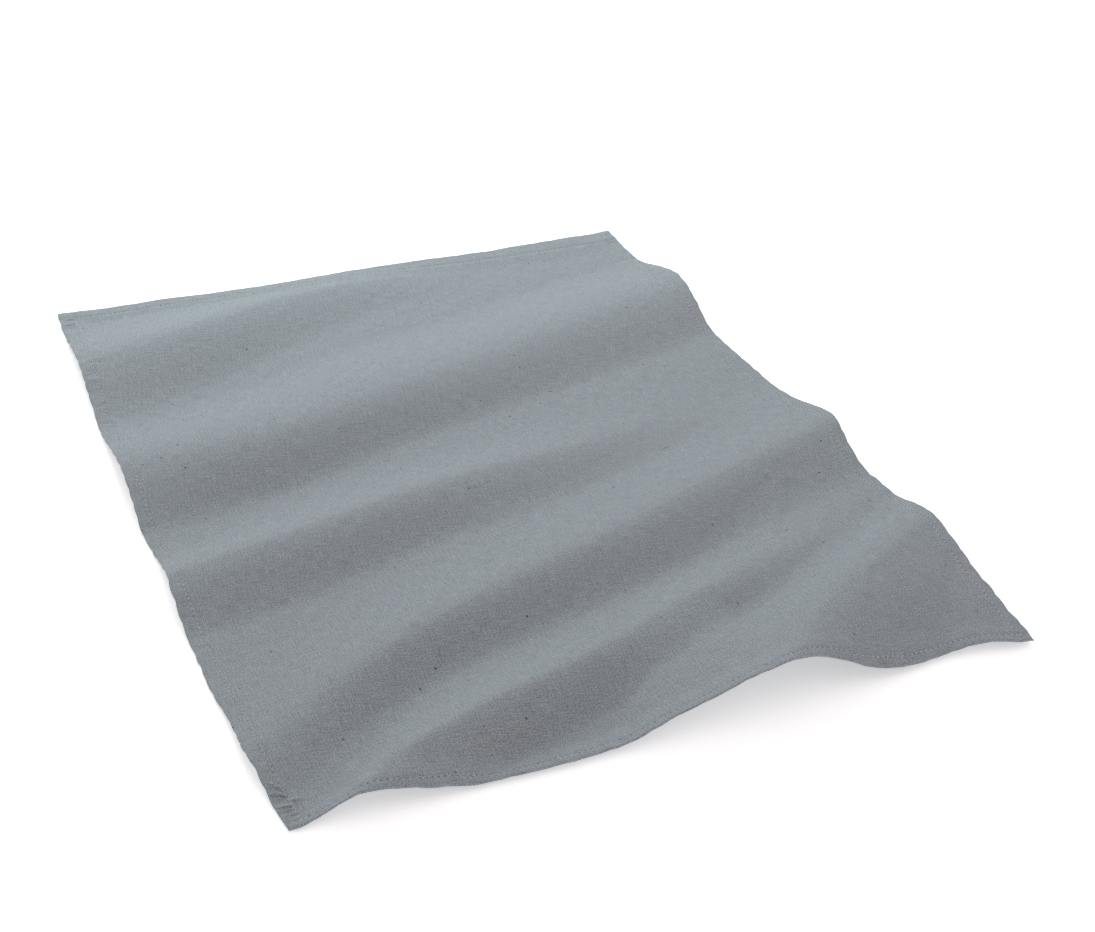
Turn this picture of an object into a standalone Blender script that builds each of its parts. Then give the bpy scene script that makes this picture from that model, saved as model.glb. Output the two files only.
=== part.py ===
"""A plain cotton tea towel laid out open, its cloth standing in long soft folds.

The towel is one sheet of cloth. A level grid is laid out to the towel's outline, its points are raised
by the folds, and a Solidify modifier gives it its thickness, with a thicker band along the turned hem.
+X runs across the towel, +Y along it, and +Z up. The origin is on the surface that the towel lies on,
under the middle of its box.
"""

from collections import namedtuple

import bmesh
import bpy
import numpy as np
from mathutils import Matrix

# Driving sizes, in millimetres. The spans are straight lines between corners as the towel lies.
MM = 0.001
SPAN_ACROSS = 496.0
SPAN_ALONG = 664.0
CLOTH_THICKNESS = 1.2
HEM_THICKNESS = 2.0
HEM_WIDTH = 12.0

# The grid's cells. The outermost row of cells on each side is the hem.
CELLS_ACROSS = 28
CELLS_ALONG = 74

# Under its own weight the cloth settles. Where a fold would lift it by less than the first value it
# lies flat, and over about the second it curves up from there.
SETTLED_FLAT = 0.3
SETTLED_CURVE = 0.6

# How far the left edge is drawn in for each millimetre that a fold lifts it, and the share of the
# width over which that fades out.
DRAWN_IN = 0.15
DRAWN_IN_SHARE = 0.12

# The outline bows away from straight lines between the corners. A row holds a place along the edge
# and how far out the edge lies there.
Bow = namedtuple("Bow", "place out")
LEFT_EDGE = [
    Bow(-332, 0),
    Bow(-290, 5.5),
    Bow(-265, 8.5),
    Bow(-235, 7.5),
    Bow(-200, 9),
    Bow(-150, 9.5),
    Bow(-95, 12),
    Bow(-50, 8),
    Bow(-15, 9.5),
    Bow(35, 12),
    Bow(80, 11),
    Bow(140, 8),
    Bow(220, 7.5),
    Bow(280, 4.5),
    Bow(332, 2),
]
NEAR_EDGE = [
    Bow(-248, 0),
    Bow(-190, 0.5),
    Bow(-160, 2.5),
    Bow(-110, 4.5),
    Bow(-75, 4.5),
    Bow(-40, 3.5),
    Bow(0, 0.5),
    Bow(60, -1.5),
    Bow(95, -6),
    Bow(130, -3),
    Bow(160, -4),
    Bow(190, -7.5),
    Bow(215, -5),
    Bow(235, 0),
    Bow(248, 0),
]
RIGHT_EDGE = [
    Bow(-332, 0),
    Bow(-300, -1.5),
    Bow(-265, -2),
    Bow(-220, 0),
    Bow(-150, 1.5),
    Bow(-100, 1.5),
    Bow(-45, 7.5),
    Bow(0, 3),
    Bow(50, 3),
    Bow(120, 0.5),
    Bow(160, 2),
    Bow(215, 7),
    Bow(265, 0),
    Bow(332, 0),
]
FAR_EDGE = [
    Bow(-248, 0),
    Bow(-150, -1),
    Bow(-75, -4),
    Bow(0, 0),
    Bow(60, 0),
    Bow(110, -2),
    Bow(160, -1),
    Bow(248, 1),
]

# A fold is a long ridge that crosses the towel from left to right. A section gives, at one x, the y of
# its crest, its height there, and how far it reaches behind the crest and in front of it. Turn says how
# roundly the crest turns over, and foot how softly the side runs out, for its back and its front.
Section = namedtuple("Section", "x crest height back front")
Fold = namedtuple("Fold", "name back_turn back_foot front_turn front_foot sections")
FOLDS = [
    Fold("far ripple", 1.6, 2.8, 1.8, 1.9, [
        Section(-300, 212, 8, 100, 86),
        Section(-240, 224, 15.5, 112, 84),
        Section(-160, 246, 17, 100, 77),
        Section(-80, 278, 12.5, 68, 71),
        Section(0, 298, 7, 46, 56),
        Section(60, 300, 3, 40, 50),
        Section(120, 302, 0, 36, 50),
    ]),
    Fold("long far fold", 1.8, 1.9, 2.0, 2.0, [
        Section(-300, 45, 15, 90, 80),
        Section(-225, 56, 20, 94, 72),
        Section(-150, 66, 21, 106, 65),
        Section(-50, 98, 18.5, 112, 64),
        Section(50, 128, 17, 104, 69),
        Section(150, 160, 17, 102, 75),
        Section(250, 190, 16.5, 94, 74),
        Section(300, 206, 16.5, 92, 72),
    ]),
    Fold("left middle fold", 1.5, 3.3, 1.8, 1.9, [
        Section(-300, -98, 13, 66, 66),
        Section(-225, -80, 17, 76, 62),
        Section(-150, -64, 18, 88, 58),
        Section(-75, -43, 16, 84, 54),
        Section(0, -26, 12.5, 84, 54),
        Section(75, -13, 8, 88, 45),
        Section(150, 6, 3, 84, 40),
        Section(210, 15, 0, 80, 40),
    ]),
    Fold("long near fold", 1.45, 3.5, 1.8, 1.9, [
        Section(-300, -301, 6.5, 120, 54),
        Section(-225, -250, 10.5, 130, 52),
        Section(-150, -205, 15, 114, 45),
        Section(-50, -166, 16.5, 118, 49),
        Section(50, -132, 16.5, 118, 57),
        Section(150, -94, 17, 120, 64),
        Section(250, -65, 20, 156, 62),
        Section(300, -50, 20, 156, 60),
    ]),
    Fold("near left fold", 1.45, 3.2, 1.7, 1.7, [
        Section(-260, -376, 12, 46, 45),
        Section(-220, -341, 14, 50, 46),
        Section(-180, -312, 18, 53, 50),
        Section(-125, -291, 21, 74, 41),
        Section(-50, -265, 17.5, 74, 42),
        Section(25, -235, 12, 68, 38),
        Section(100, -206, 6.5, 56, 36),
        Section(160, -187, 2.5, 48, 36),
        Section(220, -175, 0, 40, 36),
    ]),
    Fold("lifted near edge", 1.7, 2.0, 2.0, 1.5, [
        Section(-60, -540, 37, 216, 60),
        Section(0, -440, 38, 198, 60),
        Section(40, -374, 37, 150, 66),
        Section(80, -319, 32, 84, 70),
        Section(125, -282, 29, 66, 72),
        Section(155, -262, 28, 62, 80),
        Section(180, -247, 26.5, 60, 87),
        Section(210, -230, 24, 60, 98),
        Section(250, -211, 21, 60, 98),
        Section(300, -190, 21, 60, 98),
    ]),
    Fold("raised hollow behind it", 2.0, 2.0, 2.0, 2.0, [
        Section(-30, -310, 0, 50, 50),
        Section(25, -262, 5, 70, 60),
        Section(90, -232, 8, 75, 75),
        Section(160, -193, 9, 80, 75),
        Section(250, -150, 9, 75, 85),
        Section(300, -130, 9, 75, 85),
    ]),
    Fold("lip at the near edge", 2.0, 2.0, 2.0, 2.0, [
        Section(-190, -340, 0, 26, 30),
        Section(-150, -342, 2.5, 28, 30),
        Section(-105, -344, 4, 30, 30),
        Section(-60, -344, 4, 32, 30),
        Section(-20, -343, 3, 32, 30),
        Section(30, -340, 0, 32, 30),
    ]),
    Fold("swell by the near right corner", 2.0, 2.0, 2.0, 2.0, [
        Section(150, -346, 0, 40, 40),
        Section(180, -345, 2, 40, 40),
        Section(212, -330, 6.5, 52, 48),
        Section(235, -312, 7.5, 58, 44),
        Section(260, -300, 5, 58, 40),
        Section(300, -290, 3, 58, 40),
    ]),
]

# Colour is sRGB.
CLOTH_COLOUR = (0.545, 0.569, 0.588)
CLOTH_ROUGHNESS = 0.92


def clear_scene():
    for obj in list(bpy.data.objects):
        bpy.data.objects.remove(obj)


def linear(colour):
    """An sRGB colour as the linear RGBA that a material takes."""
    rgb = np.array(colour)
    low = rgb / 12.92
    high = ((rgb + 0.055) / 1.055) ** 2.4
    return (*np.where(rgb <= 0.04045, low, high), 1.0)


def smooth_line(at, places, values):
    """Values on a smooth curve through a table's rows, as cubic pieces with slopes from the neighbours."""
    places = np.array(places, float)
    values = np.array(values, float)
    slopes = np.gradient(values, places)
    at = np.clip(at, places[0], places[-1])
    left = np.clip(np.searchsorted(places, at) - 1, 0, len(places) - 2)
    right = left + 1
    step = places[right] - places[left]
    t = (at - places[left]) / step
    s = 1 - t
    from_left = (1 + 2 * t) * s * s * values[left] + t * s * s * step * slopes[left]
    from_right = (3 - 2 * t) * t * t * values[right] - t * t * s * step * slopes[right]
    return from_left + from_right


def bow(at, edge):
    return smooth_line(at, [row.place for row in edge], [row.out for row in edge])


def fold_height(fold, x, y):
    """Height of one fold: its crest height times (1 - (distance from the crest / reach) ** turn) ** foot."""
    places = [row.x for row in fold.sections]
    crest, height, back, front = (
        smooth_line(x, places, [getattr(row, name) for row in fold.sections])
        for name in ("crest", "height", "back", "front")
    )
    behind = y > crest
    share = np.clip(np.abs(y - crest) / np.where(behind, back, front), 0, 1)
    turn = np.where(behind, fold.back_turn, fold.front_turn)
    foot = np.where(behind, fold.back_foot, fold.front_foot)
    inside = (x >= places[0]) & (x <= places[-1])
    return np.where(inside, np.maximum(height, 0) * (1 - share**turn) ** foot, 0)


def cloth_height(x, y):
    """Height of the cloth's underside over the plan: the folds' sum, settled flat where it is lowest."""
    lift = np.maximum(sum(fold_height(fold, x, y) for fold in FOLDS) - SETTLED_FLAT, 0)
    return lift**2 / (lift + SETTLED_CURVE)


def cloth_points(across, along):
    """The cloth's underside. Across runs from 0 at the left edge to 1, along from 0 at the near edge to 1."""
    x = SPAN_ACROSS * (across - 0.5)
    y = SPAN_ALONG * (along - 0.5)
    left_bow = bow(y, LEFT_EDGE) * (1 - across) ** 2
    right_bow = bow(y, RIGHT_EDGE) * across**3
    near_bow = bow(x, NEAR_EDGE) * (1 - along) ** 3
    far_bow = bow(x, FAR_EDGE) * along**3
    x = x - left_bow + right_bow
    y = y - near_bow + far_bow
    z = cloth_height(x, y)
    x = x + DRAWN_IN * z * np.clip(1 - across / DRAWN_IN_SHARE, 0, 1) ** 2
    return np.stack([x, y, z], axis=-1)


def share_along(index_share, cells, span):
    """Place of a grid line, with the first and last cell as wide as the hem and the rest even."""
    hem = HEM_WIDTH / span
    first = 1 / cells
    return np.interp(index_share, (0, first, 1 - first, 1), (0, hem, 1 - hem, 1))


def on_hem_lines(index_share, cells):
    """True on the two outermost grid lines of either side, between which the hem lies."""
    second_line = 1.5 / cells
    return (index_share < second_line) | (index_share > 1 - second_line)


def make_cloth():
    bm = bmesh.new()
    bmesh.ops.create_grid(bm, x_segments=CELLS_ACROSS, y_segments=CELLS_ALONG, size=0.5)
    level = np.array([vert.co for vert in bm.verts])
    across_share = level[:, 0] + 0.5
    along_share = level[:, 1] + 0.5
    points = cloth_points(
        share_along(across_share, CELLS_ACROSS, SPAN_ACROSS),
        share_along(along_share, CELLS_ALONG, SPAN_ALONG),
    )
    for vert, point in zip(bm.verts, points * MM):
        vert.co = point
    mesh = bpy.data.meshes.new("towel")
    bm.to_mesh(mesh)
    bm.free()
    mesh.shade_smooth()
    towel = bpy.data.objects.new("towel", mesh)

    hem = towel.vertex_groups.new(name="hem")
    hemmed = on_hem_lines(across_share, CELLS_ACROSS) | on_hem_lines(along_share, CELLS_ALONG)
    hem.add([int(i) for i in np.flatnonzero(hemmed)], 1.0, "REPLACE")

    # The grid is the underside, so all of the thickness goes up.
    solidify = towel.modifiers.new("thickness", "SOLIDIFY")
    solidify.thickness = HEM_THICKNESS * MM
    solidify.offset = 1.0
    solidify.vertex_group = hem.name
    solidify.thickness_vertex_group = CLOTH_THICKNESS / HEM_THICKNESS
    return towel


def centre_over_origin(obj):
    """Moves the mesh level, so that the finished solid's box stands with its middle over the origin."""
    evaluated = obj.evaluated_get(bpy.context.evaluated_depsgraph_get())
    corners = np.array(evaluated.bound_box)
    middle = (corners.min(axis=0) + corners.max(axis=0)) / 2
    obj.data.transform(Matrix.Translation((-middle[0], -middle[1], 0)))


def make_material(name, colour, roughness):
    material = bpy.data.materials.new(name)
    material.use_nodes = True
    shader = material.node_tree.nodes["Principled BSDF"]
    shader.inputs["Base Color"].default_value = linear(colour)
    shader.inputs["Roughness"].default_value = roughness
    shader.inputs["Metallic"].default_value = 0.0
    return material


def main():
    clear_scene()
    collection = bpy.data.collections.new("tea towel")
    bpy.context.scene.collection.children.link(collection)
    towel = make_cloth()
    towel.data.materials.append(make_material("blue-grey cotton", CLOTH_COLOUR, CLOTH_ROUGHNESS))
    collection.objects.link(towel)
    centre_over_origin(towel)


main()
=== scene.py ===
"""The looks of a plain cotton tea towel that lies open with its cloth in long soft folds.

Sizes are in millimetres, as a sewer gives them, and become metres where a mesh or a light is made. +X runs
across the towel, +Y along it and +Z up. A place on the cloth is also given by two shares, before it was laid
out: across, from 0 at the left edge to 1, and along, from 0 at the near edge to 1.
"""

from __future__ import annotations

import logging
import math
from dataclasses import dataclass
from enum import Enum, IntEnum
from functools import cached_property

import bpy
import numpy as np
from bpy.types import Material, Node, NodeSocket, NodeTree, Object, World
from mathutils import Matrix, Vector
from numpy.typing import NDArray


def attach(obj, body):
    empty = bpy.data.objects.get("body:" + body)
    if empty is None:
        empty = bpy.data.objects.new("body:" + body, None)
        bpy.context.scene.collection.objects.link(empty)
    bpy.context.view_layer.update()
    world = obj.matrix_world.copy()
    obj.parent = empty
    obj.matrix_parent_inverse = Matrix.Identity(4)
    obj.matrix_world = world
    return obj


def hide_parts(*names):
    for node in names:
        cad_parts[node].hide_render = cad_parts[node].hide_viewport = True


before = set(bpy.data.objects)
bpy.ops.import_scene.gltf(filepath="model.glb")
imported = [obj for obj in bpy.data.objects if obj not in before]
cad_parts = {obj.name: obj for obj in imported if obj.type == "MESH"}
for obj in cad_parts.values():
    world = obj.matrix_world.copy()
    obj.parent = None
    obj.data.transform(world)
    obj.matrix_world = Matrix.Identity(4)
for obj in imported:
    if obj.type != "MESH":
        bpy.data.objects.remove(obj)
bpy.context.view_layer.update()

Array = NDArray[np.float64]
Numbers = NDArray[np.int64]
MM = 0.001
FLAT_MAP = "flat cloth"
CLOTH_THICKNESS = 0.7
HEM_THICKNESS = 1.9
RANDOM_VALUES = 1024
log = logging.getLogger("tea towel")


class Seed(IntEnum):
    """Where the seeds of each kind of random draw begin. Each edge adds a number of its own."""

    OUTLINE = 10
    WAVE = 20
    RIPPLE = 30
    DRAWN = 40
    STITCHES = 50
    SWAY = 60
    WANDER = 70


@dataclass(frozen=True)
class Mark:
    """One row of a table along an edge: a place on the edge, and the table's value there."""

    place: float
    value: float


@dataclass(frozen=True)
class Section:
    """One section of a fold: its crest's y and height at an x, and its reach behind and in front."""

    x: float
    crest: float
    height: float
    back: float
    front: float


def table(row: type, *rows: tuple) -> tuple:
    """A table of one kind of row, each made from its values."""
    return tuple(row(*values) for values in rows)


def smooth_line(at: Array, rows: tuple, place: str = "place", value: str = "value") -> Array:
    """A smooth curve through a table's rows.

    Between two rows it is a cubic whose slopes at the rows are those of their neighbours, and beyond the
    first and the last row it stays level.

    Args:
        at: Where the curve is read.
        rows: The table's rows, with rising places.
        place: The name of the column of places.
        value: The name of the column of the curve's values there.

    Returns:
        The values at those places.
    """
    spots, heights = (np.array([getattr(row, column) for row in rows], float) for column in (place, value))
    slopes = np.gradient(heights, spots)
    inside = np.clip(at, spots[0], spots[-1])
    left = np.clip(np.searchsorted(spots, inside) - 1, 0, len(spots) - 2)
    right = left + 1
    step = spots[right] - spots[left]
    t = (inside - spots[left]) / step
    s = 1 - t
    from_left = (1 + 2 * t) * s * s * heights[left] + t * s * s * step * slopes[left]
    from_right = (3 - 2 * t) * t * t * heights[right] - t * t * s * step * slopes[right]
    return from_left + from_right


def ease(share: Array) -> Array:
    """Rises softly from 0 to 1: three times the square less twice the cube."""
    t = np.clip(share, 0, 1)
    return t * t * (3 - 2 * t)


def uneven(at: Array, step: float, seed: int) -> Array:
    """A soft random line between -1 and 1.

    There is one random value every step, and the line eases from each value to the next.

    Args:
        at: Where the line is read, in millimetres.
        step: The distance between random values.
        seed: Picks the line.

    Returns:
        The line's values there.
    """
    values = np.random.default_rng(seed).uniform(-1, 1, RANDOM_VALUES)
    cell = np.floor(at / step).astype(int)
    t = ease(at / step - cell)
    return values[cell % RANDOM_VALUES] * (1 - t) + values[(cell + 1) % RANDOM_VALUES] * t


@dataclass(frozen=True)
class Fold:
    """A long ridge that crosses the towel from left to right.

    Turn says how roundly the crest turns over, and foot how softly the side runs out, for its back and for
    its front.
    """

    name: str
    back_turn: float
    back_foot: float
    front_turn: float
    front_foot: float
    sections: tuple[Section, ...]

    def height(self, x: Array, y: Array) -> Array:
        """The fold's height over the plan.

        It is the crest's height times (1 - (distance from the crest / reach) ** turn) ** foot. The crest's
        place and height and the two reaches run smoothly through the sections.

        Args:
            x: Places across.
            y: Places along.

        Returns:
            Heights, 0 outside the fold.
        """
        columns = ("crest", "height", "back", "front")
        crest, top, back, front = (smooth_line(x, self.sections, "x", column) for column in columns)
        behind = y > crest
        share = np.clip(np.abs(y - crest) / np.where(behind, back, front), 0, 1)
        turn = np.where(behind, self.back_turn, self.front_turn)
        foot = np.where(behind, self.back_foot, self.front_foot)
        inside = (x >= self.sections[0].x) & (x <= self.sections[-1].x)
        return np.where(inside, np.maximum(top, 0) * (1 - share**turn) ** foot, 0)


# How far out each edge is bowed, at places along it from its middle.
LEFT_EDGE = table(
    Mark,
    (-332, 0), (-290, 5.5), (-265, 8.5), (-235, 7.5), (-200, 9), (-150, 9.5), (-95, 12), (-50, 8),
    (-15, 9.5), (35, 12), (80, 11), (140, 8), (220, 7.5), (280, 4.5), (332, 2),
)
NEAR_EDGE = table(
    Mark,
    (-248, 0), (-190, 0.5), (-160, 2.5), (-110, 4.5), (-75, 4.5), (-40, 3.5), (0, 0.5), (60, -1.5),
    (95, -6), (130, -3), (160, -4), (190, -7.5), (215, -5), (235, 0), (248, 0),
)
RIGHT_EDGE = table(
    Mark,
    (-332, 0), (-300, -1.5), (-265, -2), (-220, 0), (-150, 1.5), (-100, 1.5), (-45, 7.5), (0, 3),
    (50, 3), (120, 0.5), (160, 2), (215, 7), (265, 0), (332, 0),
)
FAR_EDGE = table(
    Mark,
    (-248, 0), (-150, -1), (-75, -4), (0, 0), (60, 0), (110, -2), (160, -1), (248, 1),
)
FOLDS = (
    Fold("far ripple", 1.6, 2.8, 1.8, 1.9, table(
        Section,
        (-300, 212, 8, 100, 86), (-240, 224, 15.5, 112, 84), (-160, 246, 17, 100, 77),
        (-80, 278, 12.5, 68, 71), (0, 298, 7, 46, 56), (60, 300, 3, 40, 50), (120, 302, 0, 36, 50),
    )),
    Fold("long far fold", 1.8, 1.9, 2.0, 2.0, table(
        Section,
        (-300, 45, 15, 90, 80), (-225, 56, 20, 94, 72), (-150, 66, 21, 106, 65),
        (-50, 98, 18.5, 112, 64), (50, 128, 17, 104, 69), (150, 160, 17, 102, 75),
        (250, 190, 16.5, 94, 74), (300, 206, 16.5, 92, 72),
    )),
    Fold("left middle fold", 1.5, 3.3, 1.8, 1.9, table(
        Section,
        (-300, -98, 13, 66, 66), (-225, -80, 17, 76, 62), (-150, -64, 18, 88, 58),
        (-75, -43, 16, 84, 54), (0, -26, 12.5, 84, 54), (75, -13, 8, 88, 45), (150, 6, 3, 84, 40),
        (210, 15, 0, 80, 40),
    )),
    Fold("long near fold", 1.45, 3.5, 1.8, 1.9, table(
        Section,
        (-300, -301, 6.5, 120, 54), (-225, -250, 10.5, 130, 52), (-150, -205, 15, 114, 45),
        (-50, -166, 16.5, 118, 49), (50, -132, 16.5, 118, 57), (150, -94, 17, 120, 64),
        (250, -65, 20, 156, 62), (300, -50, 20, 156, 60),
    )),
    Fold("near left fold", 1.45, 3.2, 1.7, 1.7, table(
        Section,
        (-260, -376, 12, 46, 45), (-220, -341, 14, 50, 46), (-180, -312, 18, 53, 50),
        (-125, -291, 21, 74, 41), (-50, -265, 17.5, 74, 42), (25, -235, 12, 68, 38),
        (100, -206, 6.5, 56, 36), (160, -187, 2.5, 48, 36), (220, -175, 0, 40, 36),
    )),
    Fold("lifted near edge", 1.7, 2.0, 2.0, 1.5, table(
        Section,
        (-60, -540, 37, 216, 60), (0, -440, 38, 198, 60), (40, -374, 37, 150, 66),
        (80, -319, 32, 84, 70), (125, -282, 29, 66, 72), (155, -262, 28, 62, 80),
        (180, -247, 26.5, 60, 87), (210, -230, 24, 60, 98), (250, -211, 21, 60, 98),
        (300, -190, 21, 60, 98),
    )),
    Fold("raised hollow behind it", 2.0, 2.0, 2.0, 2.0, table(
        Section,
        (-30, -310, 0, 50, 50), (25, -262, 5, 70, 60), (90, -232, 8, 75, 75), (160, -193, 9, 80, 75),
        (250, -150, 9, 75, 85), (300, -130, 9, 75, 85),
    )),
    Fold("lip at the near edge", 2.0, 2.0, 2.0, 2.0, table(
        Section,
        (-190, -340, 0, 26, 30), (-150, -342, 2.5, 28, 30), (-105, -344, 4, 30, 30),
        (-60, -344, 4, 32, 30), (-20, -343, 3, 32, 30), (30, -340, 0, 32, 30),
    )),
    Fold("swell by the near right corner", 2.0, 2.0, 2.0, 2.0, table(
        Section,
        (150, -346, 0, 40, 40), (180, -345, 2, 40, 40), (212, -330, 6.5, 52, 48),
        (235, -312, 7.5, 58, 44), (260, -300, 5, 58, 40), (300, -290, 3, 58, 40),
    )),
)


class Edge(Enum):
    """A side of the towel, with the direction that points out of the cloth there."""

    LEFT = (-1, 0)
    RIGHT = (1, 0)
    NEAR = (0, -1)
    FAR = (0, 1)

    @property
    def is_side(self) -> bool:
        """True for the two long sides."""
        return self in (Edge.LEFT, Edge.RIGHT)

    @property
    def is_first(self) -> bool:
        """True where the shares across and along begin."""
        return self in (Edge.LEFT, Edge.NEAR)


@dataclass(frozen=True)
class LaidSheet:
    """The outline and the folds in which the cloth lies, the same as its solid's.

    The spans are straight lines between corners. Where a fold would lift the cloth by less than
    settled_flat it lies flat, and over about settled_curve it curves up from there. Drawn_in is how far the
    left edge comes in for each millimetre that a fold lifts it, over that share of the width. Columns and
    rows are those of the grid that the plan's middle is measured on.
    """

    span_across: float = 496.0
    span_along: float = 664.0
    settled_flat: float = 0.3
    settled_curve: float = 0.6
    drawn_in: float = 0.15
    drawn_in_share: float = 0.12
    columns: int = 101
    rows: int = 401

    def height(self, x: Array, y: Array) -> Array:
        """Height of the solid's underside over the plan: the folds' sum, settled where it is lowest."""
        lift = np.maximum(sum(fold.height(x, y) for fold in FOLDS) - self.settled_flat, 0)
        return lift**2 / (lift + self.settled_curve)

    def points(self, across: Array, along: Array) -> Array:
        """The solid's underside before it is centred.

        The plan is a rectangle whose edges are bowed out as the tables say, fading into the cloth with the
        square or the cube of the distance's share, and the height is that of the folds there.

        Args:
            across: Shares of the width.
            along: Shares of the length.

        Returns:
            Points in millimetres, with x, y and z on the last axis.
        """
        x = self.span_across * (across - 0.5)
        y = self.span_along * (along - 0.5)
        left_bow = smooth_line(y, LEFT_EDGE) * (1 - across) ** 2
        right_bow = smooth_line(y, RIGHT_EDGE) * across**3
        near_bow = smooth_line(x, NEAR_EDGE) * (1 - along) ** 3
        far_bow = smooth_line(x, FAR_EDGE) * along**3
        x = x - left_bow + right_bow
        y = y - near_bow + far_bow
        z = self.height(x, y)
        x = x + self.drawn_in * z * np.clip(1 - across / self.drawn_in_share, 0, 1) ** 2
        return np.stack([x, y, z], axis=-1)

    @cached_property
    def middle(self) -> Array:
        """The plan's middle, which lies over the origin once the sheet is centred."""
        across, along = np.meshgrid(np.linspace(0, 1, self.columns), np.linspace(0, 1, self.rows))
        plan = self.points(across, along)[..., :2].reshape(-1, 2)
        return (plan.min(axis=0) + plan.max(axis=0)) / 2

    def distance(self, edge: Edge, across: Array, along: Array) -> Array:
        """How far in from an edge places on the cloth lie."""
        share, span = (across, self.span_across) if edge.is_side else (along, self.span_along)
        return (share if edge.is_first else 1 - share) * span

    def place(self, edge: Edge, across: Array, along: Array) -> Array:
        """How far along an edge places on the cloth lie, from its near or its left end."""
        return along * self.span_along if edge.is_side else across * self.span_across

    def shares(self, edge: Edge, distance: Array, place: Array) -> tuple[Array, Array]:
        """The shares across and along of places given by how far in from an edge and along it they lie."""
        spans = (self.span_across, self.span_along)
        span, length = spans if edge.is_side else spans[::-1]
        inside = (distance if edge.is_first else span - distance) / span
        return (inside, place / length) if edge.is_side else (place / length, inside)


@dataclass(frozen=True)
class Loop:
    """One length of thread in a stitch line, or the dark, low piece in a needle's hole that paints the shade
    there.

    Its start and length are shares of the pitch, and thread is its thickness. Its middle crowns that high
    over the cloth's face, and its ends are sunk that deep in it.
    """

    start: float
    length: float
    thread: float
    crown: float
    sunk: float


@dataclass(frozen=True)
class Seam:
    """A stitch, and the needle's hole that follows it, where a dark, low piece of thread paints the hole's
    shade.
    """

    stitch: Loop
    hole: Loop


OPEN_SEAM = Seam(
    stitch=Loop(start=0.0, length=0.66, thread=0.95, crown=0.2, sunk=0.6),
    hole=Loop(start=0.66, length=0.34, thread=0.9, crown=-0.3, sunk=0.7),
)
EVEN_SEAM = Seam(
    stitch=Loop(start=0.0, length=0.62, thread=0.75, crown=0.1, sunk=0.55),
    hole=Loop(start=0.62, length=0.38, thread=1.0, crown=-0.3, sunk=0.7),
)
TIGHT_SEAM = Seam(
    stitch=Loop(start=0.0, length=0.6, thread=0.5, crown=0.0, sunk=0.5),
    hole=Loop(start=0.6, length=0.4, thread=1.0, crown=-0.3, sunk=0.7),
)


@dataclass(frozen=True)
class SeamRun:
    """The stitches that a hem has from one place along its edge to the next run's place."""

    place: float
    seam: Seam


@dataclass(frozen=True)
class Pucker:
    """A short trough across a hem, drawn up by the stitches.

    It runs between two distances from the edge, and slant is how far it moves along the edge for each
    millimetre that it runs in. Its banks are a wider and lower bell turned up, and its ends ease out.
    """

    place: float
    depth: float
    width: float
    outer_end: float
    inner_end: float
    slant: float
    bank_share: float = 0.8
    bank_width: float = 2.0
    end_length: float = 3.0

    def lift(self, distance: Array, past_line: Array, place: Array) -> Array:
        """How far it lifts the cloth, by the distances from the edge and past the stitch line, and place."""
        off = (place - self.place - self.slant * past_line) / self.width
        trough = np.exp(-(off**2)) - self.bank_share * np.exp(-((off / self.bank_width) ** 2))
        outer = ease((distance - self.outer_end) / self.end_length + 0.5)
        inner = ease((self.inner_end - distance) / self.end_length + 0.5)
        return -self.depth * trough * outer * inner


@dataclass(frozen=True)
class Hem:
    """The cloth's section at an edge that is turned twice to the underside and stitched down.

    All distances are those of the usual width, which the shares widen or narrow at places along the edge,
    from its near or its left end.
    """

    width: float
    stitch_line: float
    shares: tuple[Mark, ...] = (Mark(0, 1), Mark(700, 1))
    seams: tuple[SeamRun, ...] = (SeamRun(0, TIGHT_SEAM),)
    puckers: tuple[Pucker, ...] = ()
    settle: float = 13.0
    inner_fold: float = 0.9
    groove: float = 0.25
    groove_reach: float = 1.1

    def share(self, place: Array) -> Array:
        """The hem's width at places along its edge, as a share of its usual width."""
        return smooth_line(place, self.shares)

    def rise(self, distance: Array) -> Array:
        """How far the turned layers hold the face cloth up: fully on the hem, and easing down past it."""
        past = (distance - self.width) / self.settle
        return (HEM_THICKNESS - CLOTH_THICKNESS) * (1 - ease(past))

    def dip(self, distance: Array) -> Array:
        """How far the stitches pull the cloth in: a bell-shaped groove along the stitch line."""
        return self.groove * np.exp(-(((distance - self.stitch_line) / self.groove_reach) ** 2))

    def step(self, distance: Array) -> Array:
        """The share of the rise that shows underneath: none on the hem, all past its rounded inner fold."""
        return ease((distance - self.width + self.inner_fold) / self.inner_fold)


@dataclass(frozen=True)
class Cockle:
    """Small unevenness along an edge.

    Outline, ripple and wave are random lines with one value every step. Bulge is how far the edge stands out
    between the places where the stitching draws it in, and sway moves those places. The ripple fades along
    the edge, to the least share of its height, where a random line of the drawn step is near 0.
    """

    outline: float = 0.35
    outline_step: float = 10.0
    outline_reach: float = 9.0
    bulge: float = 0.75
    bulge_step: float = 15.0
    bulge_sway: float = 5.0
    bulge_power: float = 0.6
    bulge_middle: float = 0.7
    ripple: float = 0.32
    ripple_step: float = 4.6
    ripple_reach: float = 11.0
    ripple_least: float = 0.35
    drawn_step: float = 40.0
    wave: float = 0.7
    wave_step: float = 19.0
    wave_reach: float = 20.0


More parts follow.
